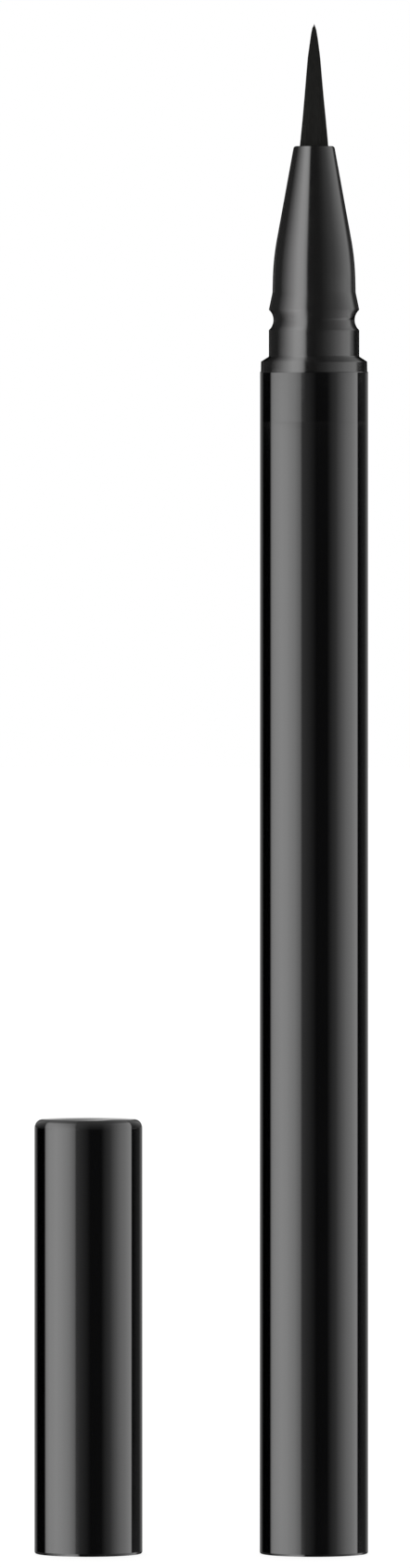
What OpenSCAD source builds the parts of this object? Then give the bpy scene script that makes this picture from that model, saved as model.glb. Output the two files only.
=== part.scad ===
// Liquid eyeliner pen: a free-ink brush pen, with its spring-sealed cap standing beside it.
// Millimetres. The origin is the centre of the pen's foot, and +Z runs up the pen to the brush tip.

/* [Barrel] */
// Outside diameter of the barrel
barrel_d = 9.4; // [8.8:0.1:11]
// Length of the barrel, from the foot to the nose
barrel_len = 102.3; // [86:0.1:122]
// Wall of the barrel
barrel_wall = 0.75; // [0.62:0.01:0.9]
// Radius of the barrel's outer edge at the foot
foot_edge = 0.18; // [0.1:0.01:0.3]

/* [Tail plug] */
// Thickness of the disc that closes the barrel
tail_disc = 1.2; // [0.9:0.1:2]
// Height of the plug, from the foot to the rim that carries the ink tank
tail_h = 6; // [4:0.1:8]
// Wall of the plug's cup
tail_wall = 0.7; // [0.5:0.05:0.9]
// Step in the barrel that the disc sits in
tail_step = 0.14; // [0.08:0.01:0.2]
// Chamfer round the disc, which shows as the seam at the foot
tail_chamfer = 0.2; // [0.1:0.01:0.3]

/* [Ink tank] */
// Wall of the ink tank
tank_wall = 0.6; // [0.5:0.01:0.75]
// Length of the plug in the tank's rear end
plug_len = 6; // [4:0.1:8]
// Wall of the tank's plug
plug_wall = 0.8; // [0.6:0.05:1]
// Depth of the dish that the mixing ball rests in
dish_depth = 0.4; // [0.25:0.05:0.5]
// Diameter of the mixing ball
ball_d = 3; // [2.4:0.1:3.8]

/* [Nose] */
// Length of the nose that shows, from the barrel's end to the mouth
nose_len = 19.5; // [16:0.1:23.5]
// Step from the barrel's side in to the nose's collar
collar_step = 0.1; // [0.05:0.01:0.16]
// Height of the collar
collar_h = 0.88; // [0.6:0.02:1.3]
// Draft of the collar, in degrees
collar_angle = 1; // [0.5:0.1:2]
// Height of the sloping shoulder above the collar
shoulder_h = 0.44; // [0.3:0.02:0.7]
// Diameter of the neck that the cap slides over
neck_d = 7.81; // [7.2:0.01:8.2]
// Length of the neck, from the shoulder to the groove
neck_len = 2.28; // [1.9:0.02:2.8]
// Width of the groove that the cap's bead snaps into
groove_w = 1.76; // [1.5:0.02:2.1]
// Depth of that groove
groove_depth = 0.39; // [0.3:0.01:0.46]
// Length of the lead slope above the groove
lead_len = 1.5; // [1.2:0.02:1.8]
// Step from the neck's side in to the foot of that slope
lead_step = 0.31; // [0.25:0.01:0.37]
// Draft of the nose between the lead slope and the cone, in degrees
body_angle = 1.3; // [0.5:0.1:2]
// Length of that drafted part
draft_len = 2.86; // [2:0.02:4]
// Radius of the bend into the cone
bend_r = 22; // [10:0.5:26]
// Wall of the nose at the mouth
mouth_wall = 0.447; // [0.37:0.001:0.6]
// Radius of the edge round the mouth
mouth_edge = 0.25; // [0.15:0.01:0.3]
// Length of the nose's plug in the barrel
nose_plug_len = 4; // [3:0.1:6]
// Length of the nose's spigot in the ink tank
spigot_len = 4.3; // [3.4:0.1:6]
// Wall of that spigot
spigot_wall = 0.64; // [0.5:0.01:0.8]
// Wall of the cone where the brush holder seats
seat_wall = 0.97; // [0.8:0.01:1.1]

/* [Brush] */
// Diameter of the brush at the mouth
brush_d = 2.53; // [2.1:0.01:2.9]
// Length of the bonded root inside the nose
root_len = 12.8; // [10.6:0.1:13.6]
// Depth below the mouth at which the strands leave the root
strand_sink = 0.3; // [0.2:0.05:0.5]
// Rings of strands round the brush's axis
strand_rings = 11; // [10:1:12]
// Wall of the brush holder
holder_wall = 0.625; // [0.5:0.005:0.75]

/* [Ink feed] */
// Diameter of the feed rod
rod_d = 1.4; // [1.1:0.1:1.7]
// Length of the feed rod below the collector
rod_tail = 2.5; // [1:0.1:4]
// Wall of the collector's front pipe
pipe_wall = 0.4; // [0.3:0.01:0.48]
// Diameter of the collector's core, which the fins stand on
core_d = 2.6; // [2.3:0.1:3.2]
// Length of the collector's head in the nose
head_len = 6.4; // [5:0.1:8]
// Thickness of the flange that seats on the nose's spigot
flange_t = 0.8; // [0.5:0.05:1.2]
// Number of ink-holding fins
fin_count = 28; // [16:1:34]
// Distance from fin to fin
fin_pitch = 0.65; // [0.5:0.01:0.8]
// Thickness of a fin
fin_t = 0.3; // [0.2:0.01:0.4]
// Width of the slit that feeds ink to the fins
slit_w = 0.2; // [0.15:0.01:0.3]
// Width of the air notch in the fins, opposite the slit
vent_w = 1; // [0.7:0.05:1.4]

/* [Cap] */
// Length of the cap, which the brush's length follows
cap_len = 37.76; // [31.4:0.02:45]
// Wall of the cap
cap_wall = 0.73; // [0.6:0.01:0.85]
// Distance from the pen's axis to the cap's, as they stand
cap_spacing = 19.5; // [14:0.1:30]
// Radius of the cap's top edge
top_edge = 0.75; // [0.4:0.05:1.2]
// Radius of the slightly domed top
dome_r = 69; // [40:1:90]
// Radius of the cap's outer edge at the mouth
cap_foot_edge = 0.22; // [0.1:0.01:0.28]
// Width of the chamfer inside the mouth, which seats on the shoulder
seat_chamfer = 0.3; // [0.24:0.01:0.36]
// Height of the snap bead above the cap's bore
bead_h = 0.17; // [0.1:0.01:0.25]
// Radius of the snap bead's back
bead_r = 0.6; // [0.5:0.01:0.7]
// Depth of the ledge that holds the inner cap
ledge_depth = 0.17; // [0.14:0.01:0.25]
// Thickness of the cap's roof
roof_t = 1; // [0.8:0.05:1.4]

/* [Inner cap] */
// Height of the seal above the inner cap's lower edge
seal_lift = 1.18; // [0.9:0.02:1.5]
// Distance that the nose pushes the inner cap back
seal_press = 0.8; // [0.6:0.05:1]
// Gap between the nose's cone and the lower edge of the inner cap
skirt_gap = 0.06; // [0.04:0.01:0.1]
// Gap between the nose's cone and the inner cap above the seal
cone_gap = 0.25; // [0.15:0.01:0.35]
// Wall of the inner cap
inner_wall = 0.6; // [0.5:0.01:0.75]
// Wall of the inner cap's skirt
skirt_wall = 0.42; // [0.3:0.01:0.44]
// Height of the skirt
skirt_h = 3.6; // [3:0.1:4.5]
// Diameter of the room round the brush
brush_room_d = 4; // [3.7:0.1:4.4]
// Room above the brush's tip
tip_room = 1; // [0.5:0.1:2]
// Number of guide ribs
rib_count = 6; // [3:1:8]
// Thickness of a guide rib
rib_t = 0.5; // [0.4:0.05:0.7]

/* [Cap spring] */
// Height of the spring's room, from the inner cap to the roof
spring_room = 6.96; // [5:0.02:9]
// Mean diameter of the spring
spring_d = 4.4; // [4:0.05:4.8]
// Thickness of the wire
wire_d = 0.36; // [0.3:0.01:0.45]
// Rise of the spring in one turn
spring_pitch = 1.15; // [1:0.01:1.4]
// Height of the bosses that centre the spring
boss_h = 1; // [0.6:0.05:1.4]

/* [Fits] */
// Gap round a piece that is pushed home
push_fit = 0.02; // [0.01:0.005:0.04]
// Gap round a piece that goes in with play
play_fit = 0.08; // [0.06:0.005:0.1]
// Gap round the neck in the cap
cap_fit = 0.045; // [0.03:0.005:0.06]
// Gap under a piece that rests on another and can lift off
rest_gap = 0.03; // [0.02:0.005:0.04]

/* [Hidden] */
$fn = 96;
// Facets of one rounded edge in a turned outline
arc_steps = 6;
// Facets of one shallow bend in a turned outline
bend_steps = 10;
// Cuts run this far past the faces that they open
overrun = 0.5;

// Barrel and tail plug
barrel_r = barrel_d / 2;
barrel_bore_r = barrel_r - barrel_wall;
tail_seat_r = barrel_bore_r + tail_step;
tail_r = tail_seat_r - 2 * push_fit;
tail_cup_r = barrel_bore_r - push_fit;
// Lead chamfer on every piece that is pushed into another
lead_chamfer = 0.3;

// Nose, outside
nose_z = barrel_len;
mouth_z = nose_z + nose_len;
collar_r = barrel_r - collar_step;
collar_top_r = collar_r - collar_h * tan(collar_angle);
neck_r = neck_d / 2;
shoulder_z = nose_z + collar_h;
neck_z = shoulder_z + shoulder_h;
groove_z = neck_z + neck_len;
groove_mid_z = groove_z + groove_w / 2;
groove_r = (pow(groove_w / 2, 2) + pow(groove_depth, 2)) / (2 * groove_depth);
groove_sweep = asin(groove_w / 2 / groove_r);
groove_centre = [neck_r - groove_depth + groove_r, groove_mid_z];
ridge_z = groove_z + groove_w;
body_z = ridge_z + lead_len;
body_r = neck_r - lead_step;
brush_r = brush_d / 2;
mouth_r = brush_r + play_fit / 2;
tip_r = mouth_r + mouth_wall;
// The draft and the cone meet here, where the bend rounds them off
corner_z = body_z + draft_len;
corner_r = body_r - draft_len * tan(body_angle);
cone_angle = atan((corner_r - tip_r) / (mouth_z - corner_z));
bend_sweep = cone_angle - body_angle;
bend = min(bend_r, draft_len / tan(bend_sweep / 2));
bend_middle = body_angle + bend_sweep / 2;
bend_centre = [corner_r, corner_z] - bend / cos(bend_sweep / 2) * [cos(bend_middle), sin(bend_middle)];
mouth_edge_centre = [tip_r - mouth_edge * (1 - sin(cone_angle)) / cos(cone_angle), mouth_z - mouth_edge];

// Tank, nose spigot and collector
tank_r = barrel_bore_r - play_fit;
tank_bore_r = tank_r - tank_wall;
tank_z = tail_h;
nose_plug_z = nose_z - nose_plug_len;
nose_plug_r = barrel_bore_r - push_fit;
spigot_z = nose_plug_z - spigot_len;
spigot_r = tank_bore_r - play_fit;
head_bore_r = spigot_r - spigot_wall;
head_z = spigot_z + head_len;
plug_r = tank_bore_r - play_fit;
plug_top_z = tank_z + plug_len;
ball_r = ball_d / 2;
// The dish is wider than the ball, so that the ball finds its middle
dish_r = ball_r + 3 * dish_depth;
dish_sweep = acos((dish_r - dish_depth) / dish_r);
ball_z = plug_top_z - dish_depth + rest_gap + ball_r;
// Half the width and the reach of the small rings that seal a plug
ring_h = 0.3;
ring_reach = play_fit - push_fit / 2;

// Brush, holder and feed rod
root_z = mouth_z - root_len;
strand_z = mouth_z - strand_sink;
rod_r = rod_d / 2;
rod_bore_r = rod_r + play_fit / 2;
pipe_r = rod_bore_r + pipe_wall;
holder_bore_r = brush_r + push_fit;
holder_r = holder_bore_r + holder_wall;
holder_seat_r = holder_r + play_fit / 2;
holder_seat_z = mouth_z - (holder_seat_r + seat_wall - tip_r) / tan(cone_angle);
holder_z = root_z - rod_r;
// Grooves down the holder let air past
air_groove_w = 0.5;
air_groove_depth = 0.25;
air_groove_count = 4;
core_r = core_d / 2;
fin_r = tank_bore_r - play_fit;
fin_top_z = spigot_z - flange_t;
collector_z = fin_top_z - (fin_count + 1) * fin_pitch;
rod_z = collector_z - rod_tail;
// Height and width of each bend in the brush's taper, as shares of its strands' length and of its radius
taper_shares = [[0, 1], [0.78, 0.35], [0.91, 0.19], [1, 0]];
// A strand fills this share of its cell
strand_fill_share = 0.88;
// The strands end over the last share of the brush
strand_end_share = 0.07;
// The root's end is a disc with this many points on its first ring, twice that on its second, and so on
disc_sides = 6;
// A strand has three sides, and this many points: two rings of three, and its end
strand_sides = 3;
strand_size = 2 * strand_sides + 1;

// Cap, from its own mouth
cap_bore_r = neck_r + cap_fit;
cap_r = cap_bore_r + cap_wall;
cap_seat_r = cap_bore_r + seat_chamfer;
shoulder_rise_share = shoulder_h / (collar_top_r - neck_r);
// Height of the cap's mouth on the pen when the cap is on
cap_on_z = shoulder_z + (collar_top_r - cap_seat_r) * shoulder_rise_share;
bead_z = groove_mid_z - cap_on_z;
bead_sweep = acos((bead_r - bead_h) / bead_r);
ledge_r = body_r + cap_fit;
guide_r = ledge_r + ledge_depth;
ledge_land = ledge_depth;
roof_z = cap_len - roof_t;
roof_edge = roof_t / 2;
dome_mid_z = cap_len - dome_r;
top_edge_z = dome_mid_z + sqrt(pow(dome_r - top_edge, 2) - pow(cap_r - top_edge, 2));
top_edge_sweep = acos((cap_r - top_edge) / (dome_r - top_edge));

// Inner cap, from the cap's mouth
skirt_r = guide_r - play_fit;
skirt_bore_r = skirt_r - skirt_wall;
brush_room_r = brush_room_d / 2;
// Where the pen's mouth comes in the inner cap when the cap is on
mouth_in_cap = mouth_z - cap_on_z - seal_press;
inner_z = mouth_in_cap - (skirt_bore_r - skirt_gap - tip_r) / tan(cone_angle);
ledge_z = inner_z - rest_gap;
seal_z = inner_z + seal_lift;
seal_r = tip_r + (mouth_in_cap - seal_z) * tan(cone_angle);
lip_h = 0.35;
inner_top_z = roof_z - spring_room;
room_top_z = inner_top_z - inner_wall;
tube_r = brush_room_r + inner_wall;
skirt_top_z = inner_z + skirt_h;
// The brush ends short of the room's top when the cap is on
tip_z = room_top_z - tip_room + seal_press + cap_on_z;

// Spring, between the inner cap's top and the roof
spring_z = inner_top_z + wire_d / 2 + rest_gap;
spring_top_z = roof_z - wire_d / 2 - rest_gap;
spring_turns = floor(2 * (spring_top_z - spring_z) / spring_pitch) / 2;
spring_rings = 12;
wire_sides = 6;
// The bosses clear the wire where its facets come closest to the axis
boss_r = (spring_d - wire_d) / 2 * cos(180 / spring_rings) - play_fit;

// Points of an arc about c, from angle a to angle b
function arc(c, r, a, b, n = arc_steps) =
    [for (i = [0 : n]) c + r * [cos(a + (b - a) * i / n), sin(a + (b - a) * i / n)]];

// Points of a sealing ring on a wall at radius r, about height z, walked upwards
function ring(r, z) =
    [[r, z - ring_h], [r + ring_reach, z - ring_h / 3], [r + ring_reach, z + ring_h / 3], [r, z + ring_h]];

// The cone's bore in the inner cap, at a height in the cap
function cone_bore(z) = tip_r + (mouth_in_cap - z) * tan(cone_angle) + cone_gap;

// A turned piece
module turned(points) rotate_extrude() polygon(points);

module barrel() color("#15161a") turned(concat(
    [[tail_seat_r, 0]],
    arc([barrel_r - foot_edge, foot_edge], foot_edge, -90, 0),
    [[barrel_r, barrel_len], [barrel_bore_r, barrel_len]],
    [[barrel_bore_r, tail_disc], [tail_seat_r, tail_disc]]
));

module tail_plug() color("#18191c") turned(concat(
    [[0, 0], [tail_r - tail_chamfer, 0], [tail_r, tail_chamfer], [tail_r, tail_disc]],
    [[tail_cup_r, tail_disc], [tail_cup_r, tail_h - lead_chamfer], [tail_cup_r - lead_chamfer / 2, tail_h]],
    [[tail_cup_r - tail_wall, tail_h], [tail_cup_r - tail_wall, tail_disc], [0, tail_disc]]
));

module ink_tank() color("#d9dbd8") turned([
    [tank_bore_r, tank_z], [tank_r, tank_z], [tank_r, nose_plug_z],
    [tank_bore_r + lead_chamfer / 2, nose_plug_z], [tank_bore_r, nose_plug_z - lead_chamfer]
]);

module tank_plug() color("#e4e4e0") turned(concat(
    [[plug_r - plug_wall, tank_z], [plug_r, tank_z]],
    ring(plug_r, tank_z + plug_len / 3),
    ring(plug_r, tank_z + plug_len * 2 / 3),
    [[plug_r, plug_top_z - lead_chamfer], [plug_r - lead_chamfer, plug_top_z]],
    arc([0, plug_top_z - dish_depth + dish_r], dish_r, dish_sweep - 90, -90),
    [[0, plug_top_z - dish_depth - plug_wall], [plug_r - plug_wall, plug_top_z - dish_depth - plug_wall]]
));

module mixing_ball() color("#b9bcc0") translate([0, 0, ball_z]) sphere(ball_r);

// Outline of the nose outside, from the spigot in the tank up to the mouth
function nose_outside() = concat(
    [[head_bore_r, spigot_z], [spigot_r - lead_chamfer / 2, spigot_z], [spigot_r, spigot_z + lead_chamfer]],
    ring(spigot_r, spigot_z + spigot_len / 3),
    ring(spigot_r, spigot_z + spigot_len * 2 / 3),
    [[spigot_r, nose_plug_z], [nose_plug_r - lead_chamfer / 2, nose_plug_z]],
    [[nose_plug_r, nose_plug_z + lead_chamfer], [nose_plug_r, nose_z]],
    [[collar_r, nose_z], [collar_top_r, shoulder_z], [neck_r, neck_z]],
    arc(groove_centre, groove_r, 180 + groove_sweep, 180 - groove_sweep, bend_steps),
    [[body_r, body_z]],
    arc(bend_centre, bend, body_angle, cone_angle, bend_steps),
    arc(mouth_edge_centre, mouth_edge, cone_angle, 90)
);

// Outline of its stepped bore, from the mouth down
function nose_inside() = [
    [mouth_r, mouth_z], [mouth_r, holder_seat_z], [holder_seat_r, holder_seat_z],
    [holder_seat_r, head_z + rest_gap], [head_bore_r, head_z + rest_gap]
];

module nose_cone() color("#232323") turned(concat(nose_outside(), nose_inside()));

// The collector's fins, as an outline walked upwards
function fin_outline() = [
    for (i = [fin_count : -1 : 1])
        let (z = fin_top_z - i * fin_pitch)
        each [[core_r, z], [fin_r, z], [fin_r, z + fin_t], [core_r, z + fin_t]]
];

module ink_collector() color("#e8e8e4") difference() {
    turned(concat(
        [[rod_bore_r, collector_z], [core_r - pipe_wall / 2, collector_z]],
        [[core_r, collector_z + pipe_wall / 2]],
        fin_outline(),
        [[core_r, fin_top_z], [fin_r, fin_top_z], [fin_r, spigot_z], [head_bore_r - play_fit, spigot_z]],
        [[head_bore_r - play_fit, head_z - lead_chamfer], [head_bore_r - play_fit - lead_chamfer, head_z]],
        [[pipe_r, head_z], [pipe_r, root_z - rest_gap], [rod_bore_r, root_z - rest_gap]]
    ));
    // Ink slit, from the rod's bore out through the fins
    translate([0, -slit_w / 2, collector_z + core_r])
        cube([fin_r + overrun, slit_w, fin_top_z - collector_z - core_r]);
    // Air notch, on through the flange and the head
    translate([-fin_r - overrun, -vent_w / 2, collector_z + core_r])
        cube([fin_r + overrun - core_r - slit_w, vent_w, head_z - collector_z]);
}

module feed_rod() color("#cfcabf") turned([
    [0, rod_z], [rod_r / 2, rod_z], [rod_r, rod_z + rod_r], [rod_r, root_z], [0, root_z]
]);

module brush_holder() color("#dcdcd6") difference() {
    turned([
        [holder_bore_r, holder_z], [holder_r - lead_chamfer, holder_z], [holder_r, holder_z + lead_chamfer],
        [holder_r, holder_seat_z], [holder_bore_r, holder_seat_z]
    ]);
    for (a = [0 : 360 / air_groove_count : 359])
        rotate(a) translate([holder_r - air_groove_depth, -air_groove_w / 2, holder_z - overrun])
            cube([air_groove_depth + overrun, air_groove_w, holder_seat_z - holder_z + 2 * overrun]);
}

// Brush: the root's end is a disc of rings of triangles, and a strand rises from every second triangle.
// A point j of ring k, and its number in the list of points
function disc_point(k, j) =
    let (a = k == 0 ? 0 : 360 * j / (disc_sides * k))
    brush_r * k / strand_rings * [cos(a), sin(a)];
function disc_number(k, j) = k == 0 ? 0 : 1 + disc_sides * k * (k - 1) / 2 + j % (disc_sides * k);

// Triangles of the disc in sector s, each as three [ring, place]: those with a side outwards, then the rest
function outward_cells(s) = [
    for (k = [1 : strand_rings], t = [0 : k - 1])
        [[k, s * k + t], [k, s * k + t + 1], [k - 1, s * (k - 1) + t]]
];
function inward_cells(s) = [
    for (k = [2 : strand_rings], t = [0 : k - 2])
        [[k - 1, s * (k - 1) + t + 1], [k - 1, s * (k - 1) + t], [k, s * k + t + 1]]
];
strand_cells = [
    for (s = [0 : disc_sides - 1]) each (s % 2 == 0 ? outward_cells(s) : inward_cells(s))
];
gap_cells = [
    for (s = [0 : disc_sides - 1]) each (s % 2 == 0 ? inward_cells(s) : outward_cells(s))
];
function cell_numbers(cell) = [for (c = cell) disc_number(c[0], c[1])];
function cell_corners(cell) = [for (c = cell) disc_point(c[0], c[1])];
function middle_of(corners) = (corners[0] + corners[1] + corners[2]) / strand_sides;

// The height share at which strand i ends: the first one makes the point, and the rest are spread below it
function strand_end(i) = i == 0 ? 1 : 1 - strand_end_share * (i * (1 + sqrt(5)) / 2 % 1);
// A point of the disc, carried up to a height share and drawn in to the brush's width there
function lifted(point, share) =
    let (p = point * lookup(share, taper_shares))
    [p[0], p[1], strand_z + share * (tip_z - strand_z)];

// Points of strand i over its cell: two rings of three, then its end
function strand_points(i) =
    let (corners = cell_corners(strand_cells[i]), middle = middle_of(corners))
    concat(
        [for (m = [1, 2], corner = corners)
            lifted(middle + (corner - middle) * strand_fill_share, taper_shares[m][0])],
        [lifted(middle, strand_end(i))]
    );

// Triangles of strand i, whose own points start at number n, and its second ring of them at m
function strand_faces(i, n) =
    let (b = cell_numbers(strand_cells[i]), m = n + strand_sides, end = m + strand_sides)
    [for (e = [0 : strand_sides - 1]) let (f = (e + 1) % strand_sides) each [
        [b[e], n + e, n + f], [b[e], n + f, b[f]],
        [n + e, m + e, m + f], [n + e, m + f, n + f],
        [m + e, end, m + f]
    ]];

module brush_tuft() {
    rim = disc_sides * strand_rings;
    rim_start = disc_number(strand_rings, 0);
    disc_count = rim_start + rim;
    foot_start = disc_count + strand_size * len(strand_cells);
    points = concat(
        [[0, 0, strand_z]],
        [for (k = [1 : strand_rings], j = [0 : disc_sides * k - 1])
            let (p = disc_point(k, j)) [p[0], p[1], strand_z]],
        [for (i = [0 : len(strand_cells) - 1]) each strand_points(i)],
        [for (j = [0 : rim - 1]) let (p = disc_point(strand_rings, j)) [p[0], p[1], root_z]],
        [[0, 0, root_z]]
    );
    faces = concat(
        [for (cell = gap_cells) let (b = cell_numbers(cell)) [b[0], b[2], b[1]]],
        [for (i = [0 : len(strand_cells) - 1]) each strand_faces(i, disc_count + strand_size * i)],
        [for (j = [0 : rim - 1]) let (g = (j + 1) % rim) each [
            [foot_start + j, rim_start + j, rim_start + g],
            [foot_start + j, rim_start + g, foot_start + g],
            [foot_start + rim, foot_start + j, foot_start + g]
        ]]
    );
    color("#1c1c1a") polyhedron(points, faces);
}

// Outline of the cap outside, from the chamfer in its mouth up to the middle of its top
function cap_outside() = concat(
    [[cap_seat_r, 0]],
    arc([cap_r - cap_foot_edge, cap_foot_edge], cap_foot_edge, -90, 0),
    arc([cap_r - top_edge, top_edge_z], top_edge, 0, top_edge_sweep),
    [for (i = [1 : bend_steps - 1])
        let (a = top_edge_sweep + (90 - top_edge_sweep) * i / bend_steps)
        [dome_r * cos(a), dome_mid_z + dome_r * sin(a)]],
    [[0, cap_len]]
);

// Outline of the cap inside, from the roof's boss down to the mouth
function cap_inside() = concat(
    [[0, roof_z - boss_h], [boss_r, roof_z - boss_h], [boss_r, roof_z]],
    [[guide_r - roof_edge, roof_z], [guide_r, roof_z - roof_edge]],
    [[guide_r, ledge_z], [ledge_r, ledge_z], [ledge_r, ledge_z - ledge_land]],
    [[cap_bore_r, ledge_z - ledge_land - (cap_bore_r - ledge_r)]],
    arc([cap_bore_r + bead_r - bead_h, bead_z], bead_r, 180 - bead_sweep, 180 + bead_sweep),
    [[cap_bore_r, seat_chamfer * shoulder_rise_share]]
);

module at_cap() translate([-cap_spacing, 0, 0]) children();

module cap_shell() color("#15161a") at_cap() turned(concat(cap_outside(), cap_inside()));

module inner_cap() color("#eceae4") at_cap() {
    turned([
        [skirt_bore_r, inner_z], [skirt_r - rest_gap, inner_z], [skirt_r, inner_z + rest_gap],
        [skirt_r, skirt_top_z],
        [cone_bore(skirt_top_z + inner_wall) + inner_wall, skirt_top_z + inner_wall],
        [tube_r, mouth_in_cap], [tube_r, inner_top_z],
        [boss_r, inner_top_z], [boss_r, inner_top_z + boss_h], [0, inner_top_z + boss_h],
        [0, room_top_z], [brush_room_r, room_top_z], [brush_room_r, mouth_in_cap],
        [cone_bore(seal_z + lip_h), seal_z + lip_h], [seal_r, seal_z], [skirt_bore_r, seal_z - lip_h]
    ]);
    for (a = [0 : 360 / rib_count : 359]) rotate(a) guide_rib();
}

// A rib stands on the cone and the tube, and guides the inner cap in the cap
module guide_rib() rotate([90, 0, 0]) linear_extrude(rib_t, center = true) polygon([
    [cone_bore(skirt_top_z) + inner_wall / 2, skirt_top_z - inner_wall / 2],
    [skirt_r, skirt_top_z - inner_wall / 2],
    [skirt_r, inner_top_z - rib_t * 2],
    [skirt_r - rib_t, inner_top_z - rib_t],
    [brush_room_r + inner_wall / 2, inner_top_z - rib_t],
    [brush_room_r + inner_wall / 2, mouth_in_cap]
]);

// Centre line of the spring's wire, and the wire swept along it
function wire_centre(i) =
    let (a = 360 * i / spring_rings, h = spring_top_z - spring_z)
    [spring_d / 2 * cos(a), spring_d / 2 * sin(a), spring_z + h * i / (spring_turns * spring_rings)];
spring_last = spring_turns * spring_rings;
// The wire's own gap from turn to turn, measured between points of the wire one turn apart
spring_gap = min([
    for (i = [0 : spring_last - spring_rings], d = [-1 : 1])
        let (j = i + spring_rings + d)
        if (j <= spring_last) norm(wire_centre(j) - wire_centre(i)) - wire_d
]);
echo(spring_turns = spring_turns, least_gap_of_spring = spring_gap);

function wire_point(i, k) =
    let (
        a = 360 * i / spring_rings,
        b = 360 * k / wire_sides,
        c = wire_centre(i),
        reach = spring_d / 2 + wire_d / 2 * cos(b)
    )
    [reach * cos(a), reach * sin(a), c[2] + wire_d / 2 * sin(b)];

module cap_spring() color("#a9adb2") at_cap() polyhedron(
    [for (i = [0 : spring_last], k = [0 : wire_sides - 1]) wire_point(i, k)],
    concat(
        [for (k = [1 : wire_sides - 2]) [0, k + 1, k]],
        [for (i = [0 : spring_last - 1], k = [0 : wire_sides - 1])
            let (a = i * wire_sides + k, b = i * wire_sides + (k + 1) % wire_sides)
            each [[a, b, b + wire_sides], [a, b + wire_sides, a + wire_sides]]],
        [for (k = [1 : wire_sides - 2]) let (n = spring_last * wire_sides) [n, n + k, n + k + 1]]
    )
);

barrel();
tail_plug();
ink_tank();
tank_plug();
nose_cone();
ink_collector();
feed_rod();
brush_holder();
brush_tuft();
mixing_ball();
cap_shell();
cap_spring();
inner_cap();
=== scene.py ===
# Liquid eyeliner pen with its cap standing beside it: the looks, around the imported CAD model.
# Blender works in metres and the outlines below are in millimetres, both in the model's own frame:
# +Z runs up the pen from its foot on the floor, and the cap stands on the -X side.

import math

import bmesh
import bpy
from mathutils import Matrix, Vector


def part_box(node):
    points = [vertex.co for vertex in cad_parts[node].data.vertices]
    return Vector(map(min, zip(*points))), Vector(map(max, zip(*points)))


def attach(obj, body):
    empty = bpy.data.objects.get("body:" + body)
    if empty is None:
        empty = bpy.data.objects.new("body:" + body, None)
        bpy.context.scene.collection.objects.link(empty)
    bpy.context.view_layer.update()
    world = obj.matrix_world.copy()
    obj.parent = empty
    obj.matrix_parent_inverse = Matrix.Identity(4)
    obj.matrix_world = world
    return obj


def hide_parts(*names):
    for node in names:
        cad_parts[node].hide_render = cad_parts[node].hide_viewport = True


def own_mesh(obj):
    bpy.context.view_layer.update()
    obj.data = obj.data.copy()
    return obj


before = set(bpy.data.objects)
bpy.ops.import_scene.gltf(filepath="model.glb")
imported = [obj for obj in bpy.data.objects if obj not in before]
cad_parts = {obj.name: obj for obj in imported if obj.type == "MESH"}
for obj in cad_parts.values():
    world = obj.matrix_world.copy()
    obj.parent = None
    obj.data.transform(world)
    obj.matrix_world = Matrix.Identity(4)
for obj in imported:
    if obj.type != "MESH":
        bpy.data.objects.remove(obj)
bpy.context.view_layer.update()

scene = bpy.context.scene
MM = 0.001

# Steps round a turned piece, of a rounded edge in its outline, and of a very small one
TURN_STEPS = 192
EDGE_STEPS = 10
SMALL_STEPS = 5
# A straight run longer than this gets a row of points this near to both of its ends, in millimetres
LONG_RUN = 0.2
EDGE_SUPPORT = 0.02
# Points nearer than this are one point, in metres
SAME_POINT = 2e-7
# The lining of a hollow piece takes in the faces this far past its radius, in millimetres
LINING_MARGIN = 0.01


# Tools for shapes

def arc(centre, radius, start, end, steps=EDGE_STEPS):
    """Points of an arc in an outline, from one angle to another, in degrees."""
    angles = [math.radians(start + (end - start) * i / steps) for i in range(steps + 1)]
    return [(centre[0] + radius * math.cos(a), centre[1] + radius * math.sin(a)) for a in angles]


def rounded(before, corner, after, radius, steps=SMALL_STEPS):
    """Points of a small round between two straight runs of an outline, in place of their corner."""
    def unit(towards):
        run = math.dist(corner, towards)
        return ((towards[0] - corner[0]) / run, (towards[1] - corner[1]) / run)
    a, b = unit(before), unit(after)
    half = math.acos(max(-1.0, min(1.0, a[0] * b[0] + a[1] * b[1]))) / 2
    back = radius / math.tan(half)
    start = (corner[0] + a[0] * back, corner[1] + a[1] * back)
    end = (corner[0] + b[0] * back, corner[1] + b[1] * back)
    points = []
    for i in range(steps + 1):
        t = i / steps
        points.append(tuple(
            (1 - t) ** 2 * s + 2 * t * (1 - t) * c + t ** 2 * e for s, c, e in zip(start, corner, end)
        ))
    return points


def on_axis(here, there):
    """True for a run of an outline that lies on the axis, where there is nothing to turn."""
    return here[0] == 0 and there[0] == 0


def supported(outline):
    """The outline with a point near both ends of each long run, to keep its shading flat up to its edges."""
    points = []
    for here, there in zip(outline, outline[1:]):
        points.append(here)
        run = math.dist(here, there)
        if run > LONG_RUN and not on_axis(here, there):
            for share in (EDGE_SUPPORT / run, 1 - EDGE_SUPPORT / run):
                points.append(tuple(a + (b - a) * share for a, b in zip(here, there)))
    return points + [outline[-1]]


def finished(name, bm, body, material, replaced, sharp=30):
    """Makes the mesh a piece that rides on its body, smooth but for edges that turn by more degrees than
    sharp."""
    for face in bm.faces:
        face.smooth = True
    for edge in bm.edges:
        edge.smooth = edge.calc_face_angle(math.pi) < math.radians(sharp)
    mesh = bpy.data.meshes.new(name)
    bm.to_mesh(mesh)
    bm.free()
    piece = bpy.data.objects.new(name, mesh)
    scene.collection.objects.link(piece)
    mesh.materials.append(material)
    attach(piece, body)
    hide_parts(*replaced)
    return piece


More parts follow.
